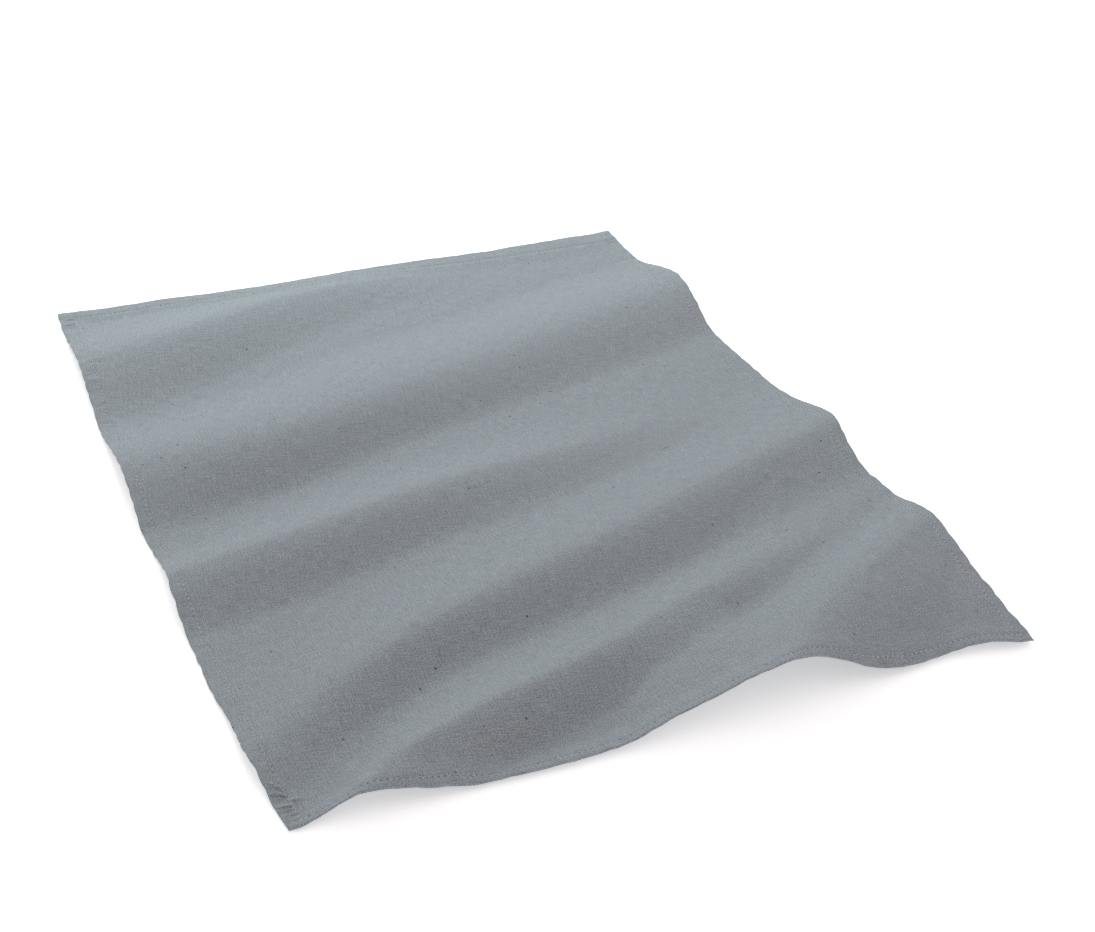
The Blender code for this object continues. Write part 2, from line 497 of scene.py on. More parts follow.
HEMS = {
    Edge.LEFT: Hem(
        width=10.6,
        stitch_line=9.0,
        shares=table(Mark, (0, 1.0), (100, 1.05), (180, 1.0), (340, 0.95), (550, 1.08), (664, 1.05)),
        seams=table(SeamRun, (0, OPEN_SEAM), (395, TIGHT_SEAM), (500, OPEN_SEAM), (556, TIGHT_SEAM)),
        puckers=table(
            Pucker,
            (31.0, 2.9, 1.0, 2.5, 9.0, -0.95), (26.0, 3.4, 1.0, 1.5, 9.5, -0.35),
            (21.5, 2.6, 1.0, 11.0, 15.5, 0.0), (16.6, 3.4, 1.0, 1.5, 9.5, -0.15),
            (10.5, 1.1, 1.3, 1.5, 9.0, 0.3), (452.0, 1.1, 2.2, 1.0, 12.0, 0.1),
            (474.0, 1.3, 2.2, 1.0, 13.0, -0.1), (497.0, 1.1, 2.2, 1.0, 12.0, 0.15),
            (523.0, 1.3, 2.2, 1.0, 14.0, 0.0), (547.0, 1.0, 2.2, 1.0, 12.0, 0.1),
            (613.0, 1.6, 1.8, 1.5, 8.0, 0.1), (640.0, 2.2, 1.6, 2.0, 11.0, 0.2),
            (648.5, 1.7, 1.6, 3.0, 11.0, -0.2),
        ),
    ),
    Edge.RIGHT: Hem(
        width=10.4,
        stitch_line=8.8,
        seams=table(SeamRun, (0, EVEN_SEAM)),
        puckers=table(
            Pucker,
            (654.0, 0.8, 1.8, 2.0, 11.0, 0.1), (645.0, 0.7, 1.8, 2.0, 12.0, -0.1),
            (560.0, 0.8, 2.4, 1.0, 14.0, 0.1), (586.0, 0.8, 2.4, 1.0, 12.0, -0.2),
            (95.0, 0.5, 2.2, 1.0, 11.0, 0.2),
        ),
    ),
    Edge.NEAR: Hem(
        width=7.2,
        stitch_line=5.6,
        shares=table(Mark, (0, 1.0), (60, 0.95), (200, 1.05), (400, 1.1), (496, 1.0)),
        seams=table(SeamRun, (0, TIGHT_SEAM), (375, EVEN_SEAM)),
    ),
    Edge.FAR: Hem(
        width=14.6,
        stitch_line=13.0,
        shares=table(Mark, (0, 0.88), (130, 0.92), (240, 1.0), (340, 1.15), (440, 1.4), (496, 1.45)),
        puckers=table(Pucker, (13.0, 1.6, 1.8, 3.0, 14.0, 0.2), (22.0, 1.2, 2.0, 2.0, 13.0, 0.0)),
        groove=0.5,
        groove_reach=1.3,
    ),
}


@dataclass(frozen=True)
class Corner:
    """The finer rows of the grid near an end, which the puckers at its corners need."""

    reach: float
    cell: float


@dataclass(frozen=True)
class TowelCloth:
    """The whole cloth, laid in its folds, with its hems, puckers and small unevenness."""

    sheet: LaidSheet = LaidSheet()
    cockle: Cockle = Cockle()
    groove_under: float = 0.6
    rim_lines: tuple[float, ...] = (0.0, 0.12, 0.42, 0.95, 2.2)
    groove_lines: tuple[float, ...] = (-2.2, -1.2, -0.5, 0.0, 0.5)
    fold_lines: tuple[float, ...] = (-0.6, -0.2, 0.4, 2.0, 4.5, 8.0, 13.0)
    cell_across: float = 5.7
    cell_along: float = 2.05
    near_corners: Corner = Corner(42.0, 0.75)
    far_corners: Corner = Corner(34.0, 1.3)
    flat_size: tuple[float, float] = (500.0, 700.0)

    def hem_distance(self, edge: Edge, across: Array, along: Array) -> Array:
        """How far in from an edge places lie, as a distance across a hem of the usual width."""
        distance = self.sheet.distance(edge, across, along)
        return distance / HEMS[edge].share(self.sheet.place(edge, across, along))

    def edge_unevenness(self, points: Array, across: Array, along: Array) -> Array:
        """Points with the outline's small bumps and the ripples along the stitching added.

        At each edge a random line and a row of bulges move the cloth out and in, one with a longer step
        lifts it, and one with a short step ripples it round the stitch line, each fading with the distance
        from the edge. A bulge is a half wave raised to a power, and the puckers are bell-shaped troughs
        across the hem.

        Args:
            points: The laid sheet.
            across: Shares of the width.
            along: Shares of the length.

        Returns:
            The moved points.
        """
        cockle = self.cockle
        moved = points.copy()
        lift = np.zeros(across.shape)
        for number, edge in enumerate(Edge):
            distance = self.sheet.distance(edge, across, along)
            past_line = distance - HEMS[edge].stitch_line
            place = self.sheet.place(edge, across, along)
            sway = cockle.bulge_sway * uneven(place, 2 * cockle.bulge_step, Seed.SWAY + number)
            half_waves = np.abs(np.sin(math.pi * (place + sway) / cockle.bulge_step))
            bulges = half_waves**cockle.bulge_power - cockle.bulge_middle
            line = uneven(place, cockle.outline_step, Seed.OUTLINE + number)
            out = (cockle.outline * line + cockle.bulge * bulges) * np.exp(-distance / cockle.outline_reach)
            moved[..., 0] += edge.value[0] * out
            moved[..., 1] += edge.value[1] * out
            fade = np.exp(-((distance / cockle.wave_reach) ** 2))
            lift += cockle.wave * (0.5 + 0.5 * uneven(place, cockle.wave_step, Seed.WAVE + number)) * fade
            drawn = uneven(place, cockle.drawn_step, Seed.DRAWN + number) ** 2
            share = cockle.ripple_least + (1 - cockle.ripple_least) * drawn
            fade = np.exp(-((past_line / cockle.ripple_reach) ** 2))
            lift += cockle.ripple * share * uneven(place, cockle.ripple_step, Seed.RIPPLE + number) * fade
            for pucker in HEMS[edge].puckers:
                lift += pucker.lift(distance, past_line, place)
        moved[..., 2] = np.maximum(moved[..., 2] + lift, 0)
        return moved

    def face_heights(self, across: Array, along: Array) -> tuple[Array, Array]:
        """Heights of the two faces over the laid sheet.

        The upper face is the cloth's thickness plus the most that either pair of hems holds it up, less the
        stitches' groove. The lower face is flat under a hem, with the groove the other way up, and follows
        the rise past the hem's inner fold. At the rim both close on half the hem's thickness in a circle.

        Args:
            across: Shares of the width.
            along: Shares of the length.

        Returns:
            Heights of the upper and of the lower face.
        """
        rises, dips, steps, distances = [], [], [], []
        for edge, hem in HEMS.items():
            distance = self.hem_distance(edge, across, along)
            rises.append(hem.rise(distance))
            dips.append(hem.dip(distance))
            steps.append(hem.step(distance))
            distances.append(self.sheet.distance(edge, across, along))
        rise = np.maximum.reduce(rises)
        dip = np.maximum.reduce(dips)
        step = np.minimum.reduce(steps)
        half = HEM_THICKNESS / 2
        rim = np.sqrt(1 - (1 - np.clip(np.minimum.reduce(distances) / half, 0, 1)) ** 2)
        upper = CLOTH_THICKNESS + rise - dip
        lower = rise * step + dip * (1 - step) * self.groove_under
        return half + (upper - half) * rim, half + (lower - half) * rim

    def face(self, across: Array, along: Array, on_top: bool) -> Array:
        """Points of the upper or of the lower face, centred over the origin, in millimetres."""
        points = self.sheet.points(across, along)
        points[..., :2] -= self.sheet.middle
        points = self.edge_unevenness(points, across, along)
        upper, lower = self.face_heights(across, along)
        points[..., 2] += upper if on_top else lower
        return points

    def hem_lines(self, hem: Hem, corner: Corner | None = None) -> Array:
        """Distances in from an edge at which the grid's lines run along its hem.

        They are close together round the rim, the stitch line and the inner fold. Where a corner is given,
        more lines fill the gaps that are wider than its cell, out to its reach.

        Args:
            hem: The hem.
            corner: The finer rows near an end of the towel.

        Returns:
            The distances, rising from 0.
        """
        rim = np.array([*self.rim_lines, hem.stitch_line / 2])
        groove = hem.stitch_line + np.array(self.groove_lines)
        fold = hem.width + np.array(self.fold_lines)
        lines = np.concatenate([rim, groove, fold])
        if corner is None:
            return lines
        lines = np.append(lines, corner.reach)
        gaps = [
            np.linspace(start, end, max(2, math.ceil((end - start) / corner.cell) + 1))[:-1]
            for start, end in zip(lines[:-1], lines[1:])
        ]
        return np.append(np.concatenate(gaps), lines[-1])

    def grid(self) -> tuple[Array, Array]:
        """The places of the grid's points on the cloth.

        Lines follow each hem as it widens and narrows, and between the hems they are even.

        Returns:
            Their shares across and along, as arrays of rows by columns.
        """

        def spread(first: Array, last: Array, span: float, cell: float) -> Array:
            """Whole rows of distances: those of the first edge, even ones, and those of the last edge."""
            room = span - first[-1] - last[-1]
            share = np.linspace(0, 1, round(float(room.max()) / cell) + 1)[1:-1, None]
            return np.concatenate([first, first[-1] + room * share, span - last[::-1]])

        left, right = (self.hem_lines(HEMS[edge])[:, None] for edge in (Edge.LEFT, Edge.RIGHT))
        x = spread(left, right, self.sheet.span_across, self.cell_across)[:, 0]
        near = self.hem_lines(HEMS[Edge.NEAR], self.near_corners)[:, None] * HEMS[Edge.NEAR].share(x)
        far = self.hem_lines(HEMS[Edge.FAR], self.far_corners)[:, None] * HEMS[Edge.FAR].share(x)
        y = spread(near, far, self.sheet.span_along, self.cell_along)
        return np.broadcast_to(x / self.sheet.span_across, y.shape), y / self.sheet.span_along

    def build(self) -> Object:
        """The cloth as one closed mesh: an upper and a lower grid that share their rim.

        Returns:
            The object, with its UV map in metres on the flat cloth.
        """
        across, along = self.grid()
        upper, lower = (self.face(across, along, on_top).reshape(-1, 3) for on_top in (True, False))
        rows, columns = across.shape
        upper_index = np.arange(rows * columns).reshape(rows, columns)
        inner = np.zeros((rows, columns), bool)
        inner[1:-1, 1:-1] = True
        lower_index = upper_index.copy()
        lower_index[inner] = rows * columns + np.arange(inner.sum())
        points = np.concatenate([upper, lower[inner.ravel()]])
        faces = [*grid_faces(upper_index), *(group[:, ::-1] for group in grid_faces(lower_index))]
        flat = np.stack([across, along], axis=-1).reshape(-1, 2) * np.array(self.flat_size) * MM
        flat = np.concatenate([flat, flat[inner.ravel()]])
        return mesh_object("towel_cloth", points, faces, flat)


@dataclass(frozen=True)
class Stitching:
    """One line of straight stitches along each hem, on both faces of the cloth."""

    cloth: TowelCloth
    pitch: float = 3.8
    off_place: float = 0.2
    off_line: float = 0.2
    wander: float = 0.45
    wander_step: float = 9.0
    least_height: float = 0.02
    sides: int = 5
    stations: tuple[float, ...] = (0.0, 0.14, 0.36, 0.64, 0.86, 1.0)
    end_size: float = 0.35

    def stitch_places(self, edge: Edge) -> tuple[Array, Array]:
        """Where the stitches along an edge start, and how far in they lie, each a little off its line."""
        span = self.cloth.sheet.span_along if edge.is_side else self.cloth.sheet.span_across
        count = round((span - 2 * self.pitch) / self.pitch)
        rng = np.random.default_rng(Seed.STITCHES + sum(edge.value) + 7 * edge.is_side)
        starts = self.pitch + np.arange(count) * (span - 2 * self.pitch) / count
        starts = starts + rng.uniform(-self.off_place, self.off_place, count)
        inward = HEMS[edge].stitch_line * HEMS[edge].share(starts)
        inward = inward + self.wander * uneven(starts, self.wander_step, Seed.WANDER + sum(edge.value))
        return starts, inward + rng.uniform(-self.off_line, self.off_line, count)

    def row(self, edge: Edge, on_top: bool, loop: Loop, run: tuple[float, float]) -> tuple[Array, Array]:
        """The stitches, or the dark pieces of painted shade in the holes between them, of one run along an
        edge on one face.

        Each is a ring of points at each station along it. A ring's size and height follow a half wave, so
        that the thread comes up out of the cloth, crowns and goes back in. Each point is then put on the
        face at its own place, so that the row follows every fold and pucker.

        Args:
            edge: The edge that the row runs along.
            on_top: True for the upper face.
            loop: The length of thread that repeats.
            run: The places along the edge that the run lies between.

        Returns:
            The points in millimetres, and their places on the thread in metres, as arrays of stitches by
            stations by sides.
        """
        starts, inward = self.stitch_places(edge)
        chosen = (starts >= run[0]) & (starts < run[1])
        starts, inward = starts[chosen], inward[chosen]
        share = np.array(self.stations)[None, :, None]
        turn = (np.arange(self.sides) / self.sides * 2 * math.pi)[None, None, :]
        swell = np.sin(math.pi * share)
        radius = loop.thread / 2 * (self.end_size + (1 - self.end_size) * np.sqrt(swell))
        place = starts[:, None, None] + (loop.start + share * loop.length) * self.pitch
        aside = inward[:, None, None] + radius * np.cos(turn)
        height = (loop.crown + loop.sunk) * swell - loop.sunk + radius * np.sin(turn)
        place, aside, height, turn = np.broadcast_arrays(place, aside, height, turn)
        points = self.cloth.face(*self.cloth.sheet.shares(edge, aside, place), on_top)
        if on_top:
            points[..., 2] += height
        else:
            points[..., 2] = np.maximum(points[..., 2] - height, self.least_height)
        return points, np.stack([place, turn * loop.thread / 2], axis=-1) * MM

    def loops(self) -> list[tuple[Edge, Loop, tuple[float, float], int]]:
        """Each edge's loops, with the places that their run lies between and the number of their finish."""
        found = []
        for edge, hem in HEMS.items():
            ends = [row.place for row in hem.seams[1:]] + [math.inf]
            for row, end in zip(hem.seams, ends):
                found.append((edge, row.seam.stitch, (row.place, end), 0))
                found.append((edge, row.seam.hole, (row.place, end), 1))
        return found

    def build(self, finishes: list[Material]) -> Object:
        """All rows of stitches, and of the dark pieces that paint the holes' shade, as one mesh of closed
        threads.

        Args:
            finishes: The stitches' material, and the dark one that paints the shade in the holes.

        Returns:
            The object.
        """
        parts = []
        made = 0
        for edge, loop, run, number in self.loops():
            for on_top in (True, False):
                points, flat = self.row(edge, on_top, loop, run)
                index = made + np.arange(points[..., 0].size).reshape(points.shape[:-1])
                made += index.size
                walls, ends = thread_faces(index, flipped=(edge in (Edge.LEFT, Edge.FAR)) == on_top)
                numbers = (np.full(len(walls), number), np.full(len(ends), number))
                parts.append((points.reshape(-1, 3), flat.reshape(-1, 2), walls, ends, *numbers))
        points, flat, walls, ends, *numbers = (np.concatenate(column) for column in zip(*parts))
        piece = mesh_object("stitching", points, [walls, ends], flat)
        for finish in finishes:
            piece.data.materials.append(finish)
        piece.data.polygons.foreach_set("material_index", np.concatenate(numbers).astype(np.int32))
        return piece


def thread_faces(index: Numbers, flipped: bool) -> list[Numbers]:
    """Faces over threads of point numbers: quads from each ring to the next, and a cap at both ends.

    Args:
        index: The point numbers, as threads by rings by sides.
        flipped: True to turn every face over.

    Returns:
        The quads, and the caps.
    """
    ring = np.concatenate([index, index[..., :1]], axis=-1)
    walls = np.stack([ring[:, :-1, :-1], ring[:, :-1, 1:], ring[:, 1:, 1:], ring[:, 1:, :-1]], axis=-1)
    faces = [walls.reshape(-1, 4), np.concatenate([index[:, 0, ::-1], index[:, -1]])]
    return [group[:, ::-1] for group in faces] if flipped else faces


def grid_faces(index: Numbers) -> list[Numbers]:
    """Faces over a grid of point numbers, facing up where columns run along x and rows along y.

    They are quads, but for the four cells at the grid's corners. Each of those is cut in two from its
    corner, so that two grids that share their rim share no face.

    Args:
        index: The point numbers, in rows and columns.

    Returns:
        The quads, and the triangles at the corners.
    """
    quads = np.stack([index[:-1, :-1], index[:-1, 1:], index[1:, 1:], index[1:, :-1]], axis=-1)
    rows, columns = [0, 0, -1, -1], [0, -1, -1, 0]
    whole = np.ones(quads.shape[:2], bool)
    whole[rows, columns] = False
    from_corner = np.stack([np.roll(cell, -turn) for turn, cell in enumerate(quads[rows, columns])])
    triangles = np.concatenate([from_corner[:, [0, 1, 2]], from_corner[:, [0, 2, 3]]])
    return [quads[whole], triangles]


def mesh_object(name: str, points: Array, faces: list[Numbers], flat: Array) -> Object:
    """A smooth mesh object in the scene, at the origin.

    Args:
        name: The piece's name.
        points: Its points, in millimetres.
        faces: Arrays of faces, each a row of point numbers, one array for each number of corners.
        flat: Each point's place on the flat cloth or along the thread, in metres, for the UV map.

    Returns:
        The object.
    """
    mesh = bpy.data.meshes.new(name)
    mesh.from_pydata((points * MM).tolist(), [], [face for group in faces for face in group.tolist()])
    corners = np.concatenate([group.ravel() for group in faces])
    uv_map = mesh.uv_layers.new(name=FLAT_MAP)
    uv_map.uv.foreach_set("vector", flat[corners].astype(np.float32).ravel())
    mesh.shade_smooth()
    piece = bpy.data.objects.new(name, mesh)
    bpy.context.scene.collection.objects.link(piece)
    return piece


Value = float | tuple | NodeSocket
Sockets = bpy.types.bpy_prop_collection


class Graph:
    """A node tree, with short ways to add nodes and to feed their sockets."""

    def __init__(self, tree: NodeTree) -> None:
        """Keeps the tree that the nodes go in."""
        self.tree = tree

    def feed(self, socket: NodeSocket, value: Value) -> None:
        """Links a socket into another, or sets its own value."""
        if isinstance(value, NodeSocket):
            self.tree.links.new(value, socket)
        else:
            socket.default_value = value

    def node(self, kind: str, inputs: dict | None = None, **settings: str | NodeTree) -> Node:
        """Adds a node.

        Args:
            kind: The node's type.
            inputs: What its sockets get, by name or number.
            **settings: The node's own settings.

        Returns:
            The node.
        """
        made = self.tree.nodes.new(kind)
        for name, value in settings.items():
            setattr(made, name, value)
        for key, value in (inputs or {}).items():
            self.feed(made.inputs[key], value)
        return made

    def math(self, operation: str, *values: Value) -> NodeSocket:
        """The result of one sum."""
        return self.node("ShaderNodeMath", dict(enumerate(values)), operation=operation).outputs[0]

    def stretched(self, place: NodeSocket, across: Value, along: Value) -> NodeSocket:
        """A place on the cloth with each direction scaled on its own."""
        split = self.node("ShaderNodeSeparateXYZ", {0: place})
        x = self.math("MULTIPLY", split.outputs[0], across)
        y = self.math("MULTIPLY", split.outputs[1], along)
        return self.node("ShaderNodeCombineXYZ", {0: x, 1: y}).outputs[0]

    def noise(self, place: NodeSocket, scale: float, detail: float = 2.0) -> NodeSocket:
        """A plane noise between 0 and 1 about a half."""
        inputs = {"Vector": place, "Scale": scale, "Detail": detail, "Roughness": 0.55}
        return self.node("ShaderNodeTexNoise", inputs, noise_dimensions="2D").outputs[0]

    def effect(self, tree: NodeTree, **values: Value) -> Node:
        """An effect's group node, with its inputs fed by name."""
        return self.node("ShaderNodeGroup", values, node_tree=tree)

    def flat_place(self) -> NodeSocket:
        """The place on the flat cloth or along the thread, in metres."""
        return self.node("ShaderNodeUVMap", uv_map=FLAT_MAP).outputs[0]

    def shaded(self, colour: Colour, level: Value) -> NodeSocket:
        """A colour made darker or lighter by a level. At 1 it stays as it is."""
        body = self.node("ShaderNodeVectorMath", {0: linear(colour)[:3], "Scale": level}, operation="SCALE")
        return body.outputs[0]

    def bumped(self, height: Value, strength: float, distance: float) -> NodeSocket:
        """The normal of a surface that is raised by a height times a distance in metres."""
        inputs = {"Strength": strength, "Distance": distance, "Height": height}
        return self.node("ShaderNodeBump", inputs).outputs[0]


def effect_group(name: str, outputs: tuple[str, ...], **inputs: float) -> tuple[Graph, Sockets, Sockets]:
    """Starts a shader node group that is read at a place.

    Args:
        name: The group's name.
        outputs: Its outputs' names, each a number.
        **inputs: The names and first values of its other inputs, each a number.

    Returns:
        The group's graph, the sockets of its inputs and the sockets of its outputs.
    """
    tree = bpy.data.node_groups.new(name, "ShaderNodeTree")
    tree.interface.new_socket("Place", in_out="INPUT", socket_type="NodeSocketVector")
    for socket_name, value in inputs.items():
        socket = tree.interface.new_socket(socket_name, in_out="INPUT", socket_type="NodeSocketFloat")
        socket.default_value = value
    for socket_name in outputs:
        tree.interface.new_socket(socket_name, in_out="OUTPUT", socket_type="NodeSocketFloat")
    graph = Graph(tree)
    return graph, graph.node("NodeGroupInput").outputs, graph.node("NodeGroupOutput").inputs


class ClothEffects:
    """The node groups of the cotton and the thread. Lengths in them are in metres."""

    def __init__(self) -> None:
        """Builds each group once."""
        self.weave = self.plain_weave()
        self.slubs = self.slub_streaks()
        self.flecks = self.fleck_spots()
        self.twist = self.ply_twist()

    def plain_weave(self) -> NodeTree:
        """Threads crossing over and under by turns.

        The product of two cosines, one across each set of threads, is a hill at each crossing, and its sign
        says which thread lies on top. A slow noise makes the threads wander. Each thread's tone is a noise
        that runs far along the thread and changes from one thread to the next.
        """
        wanders_per_metre = 110.0
        change_across, change_along = 0.9, 0.05
        graph, taken, given = effect_group("plain weave", ("Height", "Tone"), Pitch=0.0006, Wander=0.6)
        sway = graph.noise(taken["Place"], wanders_per_metre)
        offset = graph.math("MULTIPLY", graph.math("SUBTRACT", sway, 0.5), taken["Wander"])
        split = graph.node("ShaderNodeSeparateXYZ", {0: taken["Place"]})
        warp, weft = (
            graph.math("ADD", graph.math("DIVIDE", split.outputs[i], taken["Pitch"]), offset) for i in (0, 1)
        )
        waves = [graph.math("COSINE", graph.math("MULTIPLY", count, math.pi)) for count in (warp, weft)]
        crossing = graph.math("MULTIPLY", *waves)
        graph.feed(given["Height"], graph.math("POWER", graph.math("ABSOLUTE", crossing), 0.5))
        count = graph.node("ShaderNodeCombineXYZ", {0: warp, 1: weft}).outputs[0]
        warp_tone = graph.noise(graph.stretched(count, change_across, change_along), 1.0, 1.0)
        weft_tone = graph.noise(graph.stretched(count, change_along, change_across), 1.0, 1.0)
        on_top = graph.math("GREATER_THAN", crossing, 0.0)
        tone = graph.node("ShaderNodeMix", {0: on_top, 2: weft_tone, 3: warp_tone}, data_type="FLOAT")
        graph.feed(given["Tone"], tone.outputs[0])
        return graph.tree

    def slub_streaks(self) -> NodeTree:
        """Thick and thin places in the yarn: noise drawn out to streaks both ways, and a finer noise.

        The streaks that run across the cloth show a little more than those that run along it.
        """
        across_share, along_share = 0.6, 0.4
        sizes = {"Length": 0.012, "Width": 0.0009, "Grain": 0.0008}
        graph, taken, given = effect_group("slub streaks", ("Streak", "Grain"), **sizes)
        per_length = graph.math("DIVIDE", 1.0, taken["Length"])
        per_width = graph.math("DIVIDE", 1.0, taken["Width"])
        across = graph.noise(graph.stretched(taken["Place"], per_length, per_width), 1.0)
        along = graph.noise(graph.stretched(taken["Place"], per_width, per_length), 1.0)
        streaks_along = graph.math("MULTIPLY", along, along_share)
        graph.feed(given["Streak"], graph.math("MULTIPLY_ADD", across, across_share, streaks_along))
        per_grain = graph.math("DIVIDE", 1.0, taken["Grain"])
        graph.feed(given["Grain"], graph.noise(graph.stretched(taken["Place"], per_grain, per_grain), 1.0))
        return graph.tree

    def fleck_spots(self) -> NodeTree:
        """Sparse specks of husk: small discs round the points of a few cells of a Voronoi pattern."""
        sizes = {"Spacing": 0.014, "Size": 0.0006, "Share": 0.05}
        graph, taken, given = effect_group("fleck spots", ("Mask",), **sizes)
        per_spacing = graph.math("DIVIDE", 1.0, taken["Spacing"])
        place = graph.stretched(taken["Place"], per_spacing, per_spacing)
        cells = graph.node("ShaderNodeTexVoronoi", {"Vector": place, "Scale": 1.0}, voronoi_dimensions="2D")
        colour = graph.node("ShaderNodeSeparateColor", {0: cells.outputs["Color"]})
        chosen = graph.math("LESS_THAN", colour.outputs[0], taken["Share"])
        size = graph.math("MULTIPLY", taken["Size"], graph.math("ADD", colour.outputs[1], 0.5))
        reach = graph.math("MULTIPLY", size, per_spacing)
        speck = graph.math("LESS_THAN", cells.outputs["Distance"], reach)
        graph.feed(given["Mask"], graph.math("MULTIPLY", chosen, speck))
        return graph.tree

    def ply_twist(self) -> NodeTree:
        """A thread's plies: the sine of the place along it and round it, added and divided by the pitch."""
        graph, taken, given = effect_group("ply twist", ("Stripe",), Pitch=0.0009)
        split = graph.node("ShaderNodeSeparateXYZ", {0: taken["Place"]})
        slant = graph.math("ADD", split.outputs[0], split.outputs[1])
        turns = graph.math("DIVIDE", slant, taken["Pitch"])
        graph.feed(given["Stripe"], graph.math("SINE", graph.math("MULTIPLY", turns, 2 * math.pi)))
        return graph.tree


Colour = tuple[float, float, float]
WHITE = (1.0, 1.0, 1.0, 1.0)
# Colour of the dark, low pieces in the needle holes: painted shade, not a thread's own colour.
HOLE_SHADE: Colour = (0.30, 0.32, 0.34)


def linear(colour: Colour) -> tuple[float, float, float, float]:
    """An sRGB colour as the linear RGBA that a material takes."""
    rgb = np.array(colour)
    curve = np.where(rgb <= 0.04045, rgb / 12.92, ((rgb + 0.055) / 1.055) ** 2.4)
    return (float(curve[0]), float(curve[1]), float(curve[2]), 1.0)


def plain_material(name: str, values: dict[str, Value]) -> tuple[Material, Node]:
    """A material with one Principled shader, whose own sockets have these values, and that shader."""
    material = bpy.data.materials.new(name)
    material.use_nodes = True
    shader = material.node_tree.nodes["Principled BSDF"]
    for socket, value in values.items():
        shader.inputs[socket].default_value = value
    return material, shader


@dataclass(frozen=True)
class Fleck:
    """One kind of speck, with its spacing and size in metres and the share of places that have one."""

    colour: Colour
    spacing: float
    size: float
    share: float


@dataclass(frozen=True)
class CottonFinish:
    """Matt blue-grey cotton in a plain weave, with slubs and a few specks of husk."""

    effects: ClothEffects
    colour: Colour = (0.545, 0.569, 0.588)
    flecks: tuple[Fleck, ...] = (
        Fleck((0.33, 0.34, 0.35), spacing=0.0145, size=0.0006, share=0.09),
        Fleck((0.64, 0.66, 0.67), spacing=0.0131, size=0.0004, share=0.01),
    )
    pitch: float = 0.0006
    tone_share: float = 0.45
    streak_share: float = 0.12
    grain_share: float = 0.85
    relief: float = 0.00016
    streak_relief: float = 0.8
    roughness: float = 0.92
    specular: float = 0.2
    sheen: float = 0.12
    sheen_roughness: float = 0.5

    def make(self) -> Material:
        """Builds the material on the piece's map of the flat cloth."""
        material, shader = plain_material("blue-grey cotton", {
            "Roughness": self.roughness,
            "Specular IOR Level": self.specular,
            "Sheen Weight": self.sheen,
            "Sheen Roughness": self.sheen_roughness,
        })
        graph = Graph(material.node_tree)
        place = graph.flat_place()
        weave = graph.effect(self.effects.weave, Place=place, Pitch=self.pitch).outputs
        slubs = graph.effect(self.effects.slubs, Place=place).outputs
        level = 1.0
        for value, share in (
            (weave["Tone"], self.tone_share),
            (slubs["Streak"], self.streak_share),
            (slubs["Grain"], self.grain_share),
        ):
            level = graph.math("MULTIPLY_ADD", graph.math("SUBTRACT", value, 0.5), 2 * share, level)
        colour = graph.shaded(self.colour, level)
        for fleck in self.flecks:
            values = {"Spacing": fleck.spacing, "Size": fleck.size, "Share": fleck.share}
            mask = graph.effect(self.effects.flecks, Place=place, **values).outputs["Mask"]
            inputs = {0: mask, 6: colour, 7: linear(fleck.colour)}
            colour = graph.node("ShaderNodeMix", inputs, data_type="RGBA").outputs[2]
        graph.feed(shader.inputs["Base Color"], colour)
        height = graph.math("MULTIPLY_ADD", slubs["Streak"], self.streak_relief, weave["Height"])
        graph.feed(shader.inputs["Normal"], graph.bumped(height, 1.0, self.relief))
        return material


@dataclass(frozen=True)
class ThreadFinish:
    """Grey cotton sewing thread, twisted from plies."""

    effects: ClothEffects
    name: str = "sewing thread"
    colour: Colour = (0.69, 0.705, 0.715)
    shade_share: float = 0.18
    twist: float = 0.0009
    bump: float = 0.6
    relief: float = 0.00008
    roughness: float = 0.75
    specular: float = 0.3

    def make(self) -> Material:
        """Builds the material: the plies are slanting stripes in height along the thread, and the same
        stripe paints shade in the grooves between them and light on their crowns.
        """
        values = {"Roughness": self.roughness, "Specular IOR Level": self.specular}
        material, shader = plain_material(self.name, values)
        graph = Graph(material.node_tree)
        stripe = graph.effect(self.effects.twist, Place=graph.flat_place(), Pitch=self.twist).outputs[0]
        # Painted shade and light of the plies: darker in the grooves and lighter on the crowns, in step with
        # the bump's height.
        level = graph.math("MULTIPLY_ADD", stripe, self.shade_share, 1.0)
        graph.feed(shader.inputs["Base Color"], graph.shaded(self.colour, level))
        graph.feed(shader.inputs["Normal"], graph.bumped(stripe, self.bump, self.relief))
        return material


@dataclass(frozen=True)
class SoftLight:
    """A square soft light that faces the towel's middle. Azimuth is from +Y towards +X, in degrees."""

    name: str
    azimuth: float
    elevation: float
    distance: float
    size: float
    power: float
    colour: Colour

    def make(self) -> None:
        """Hangs the light in its place, with lengths in metres and power in watts."""
        lamp = bpy.data.lights.new(self.name, "AREA")
        lamp.size = self.size
        lamp.energy = self.power
        lamp.color = self.colour
        holder = bpy.data.objects.new(self.name, lamp)
        away = direction(self.azimuth, self.elevation)
        holder.location = away * self.distance
        holder.rotation_euler = away.to_track_quat("Z", "Y").to_euler()
        holder.visible_camera = False
        bpy.context.scene.collection.objects.link(holder)


def direction(azimuth: float, elevation: float) -> Vector:
    """The unit vector that points to an azimuth, from +Y towards +X, and an elevation, in degrees."""
    turn, rise = math.radians(azimuth), math.radians(elevation)
    return Vector((math.sin(turn) * math.cos(rise), math.cos(turn) * math.cos(rise), math.sin(rise)))


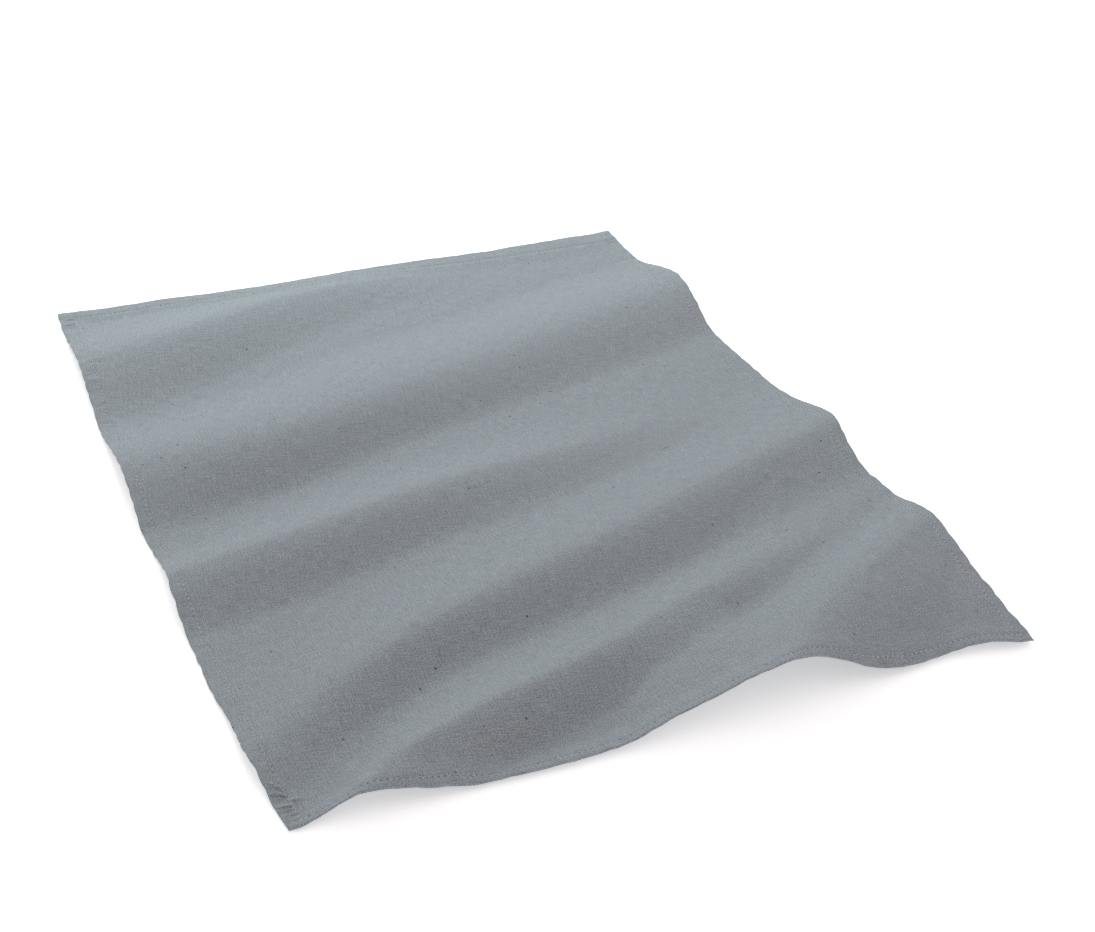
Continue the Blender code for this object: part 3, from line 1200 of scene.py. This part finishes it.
@dataclass(frozen=True)
class Studio:
    """A white floor lit from within, an even white room and a soft light behind the towel."""

    window: SoftLight = SoftLight("window_behind", 0.0, 35.0, 1.4, 0.84, 15.0, (0.83, 1.0, 1.0))
    room_colour: Colour = (1.0, 0.945, 0.955)
    room_strength: float = 0.78
    floor_colour: Colour = (0.95, 0.95, 0.95)
    floor_glow: float = 0.37
    floor_half: float = 15.0
    floor_drop: float = 0.0002

    def build(self) -> None:
        """Makes the floor, the room's light and the lamps."""
        half = self.floor_half
        corners = [(-half, -half), (half, -half), (half, half), (-half, half)]
        mesh = bpy.data.meshes.new("studio_floor")
        mesh.from_pydata([(x, y, -self.floor_drop) for x, y in corners], [], [(0, 1, 2, 3)])
        floor = bpy.data.objects.new("studio_floor", mesh)
        bpy.context.scene.collection.objects.link(floor)
        material, _ = plain_material("white floor", {
            "Roughness": 1.0,
            "Specular IOR Level": 0.0,
            "Base Color": (*self.floor_colour, 1.0),
            "Emission Color": WHITE,
            "Emission Strength": self.floor_glow,
        })
        mesh.materials.append(material)
        self.window.make()
        bpy.context.scene.world = self.room()
        bpy.context.scene.view_settings.view_transform = "Standard"

    def room(self) -> World:
        """The room round the towel, even light that the camera itself sees as white."""
        world = bpy.data.worlds.new("white room")
        world.use_nodes = True
        graph = Graph(world.node_tree)
        light = world.node_tree.nodes["Background"]
        light.inputs["Color"].default_value = (*self.room_colour, 1.0)
        light.inputs["Strength"].default_value = self.room_strength
        seen = graph.node("ShaderNodeBackground", {"Color": WHITE, "Strength": 1.0})
        to_camera = graph.node("ShaderNodeLightPath").outputs["Is Camera Ray"]
        mix = graph.node("ShaderNodeMixShader", {0: to_camera, 1: light.outputs[0], 2: seen.outputs[0]})
        graph.feed(world.node_tree.nodes["World Output"].inputs["Surface"], mix.outputs[0])
        return world


@dataclass(frozen=True)
class TowelCamera:
    """The camera at the photograph's viewing angle.

    It aims at a point level with the cloth's face, given on the plan before the towel is centred. Its
    azimuth is from +Y towards +X, its elevation is how far up it stands from there, and roll turns the
    picture, in degrees.
    """

    aim: tuple[float, float, float] = (37.4, -24.1, 1.4)
    distance: float = 1416.97
    azimuth: float = 23.87
    elevation: float = 31.553
    roll: float = 2.03
    focal_pixels: float = 1940.3
    picture_width: float = 1095.0
    sensor: float = 36.0

    def build(self, middle: Array) -> None:
        """Makes the camera.

        Its back axis points from the aim to the camera, its right axis is level but for the roll, and its
        up axis stands square to both.

        Args:
            middle: The plan's middle, which lies over the origin.
        """
        back = direction(self.azimuth + 180, self.elevation)
        level = back.cross(Vector((0, 0, -1))).normalized()
        upright = back.cross(level)
        turn = math.radians(self.roll)
        right = level * math.cos(turn) + upright * math.sin(turn)
        up = back.cross(right)
        aim = Vector((self.aim[0] - middle[0], self.aim[1] - middle[1], self.aim[2])) * MM
        stand = aim + back * self.distance * MM
        data = bpy.data.cameras.new("camera")
        data.sensor_width = self.sensor
        data.lens = self.focal_pixels / self.picture_width * self.sensor
        camera = bpy.data.objects.new("camera", data)
        camera.matrix_world = Matrix((right, up, back)).transposed().to_4x4()
        camera.location = stand
        bpy.context.scene.collection.objects.link(camera)
        bpy.context.scene.camera = camera


def report(piece: Object) -> None:
    """Logs a piece's faces and size."""
    sizes = " x ".join(f"{length / MM:.1f}" for length in piece.dimensions)
    log.info("%s: %d faces, %s mm", piece.name, len(piece.data.polygons), sizes)


def main() -> None:
    """Builds the towel, its stitching, the studio and the camera."""
    logging.basicConfig(level=logging.INFO, format="%(name)s: %(message)s")
    cloth = TowelCloth()
    TowelCamera().build(cloth.sheet.middle)
    towel = cloth.build()
    effects = ClothEffects()
    towel.data.materials.append(CottonFinish(effects).make())
    # The holes' finish is a dark colour with no specular: painted shade in the needle holes.
    hole_shade_finish = ThreadFinish(effects, name="painted hole shade", colour=HOLE_SHADE, specular=0.0)
    stitching = Stitching(cloth).build([ThreadFinish(effects).make(), hole_shade_finish.make()])
    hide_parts("towel")
    for piece in (towel, stitching):
        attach(piece, "root")
        report(piece)
    Studio().build()
    log.info("folds: %s", ", ".join(fold.name for fold in FOLDS))


if __name__ == "__main__":
    main()
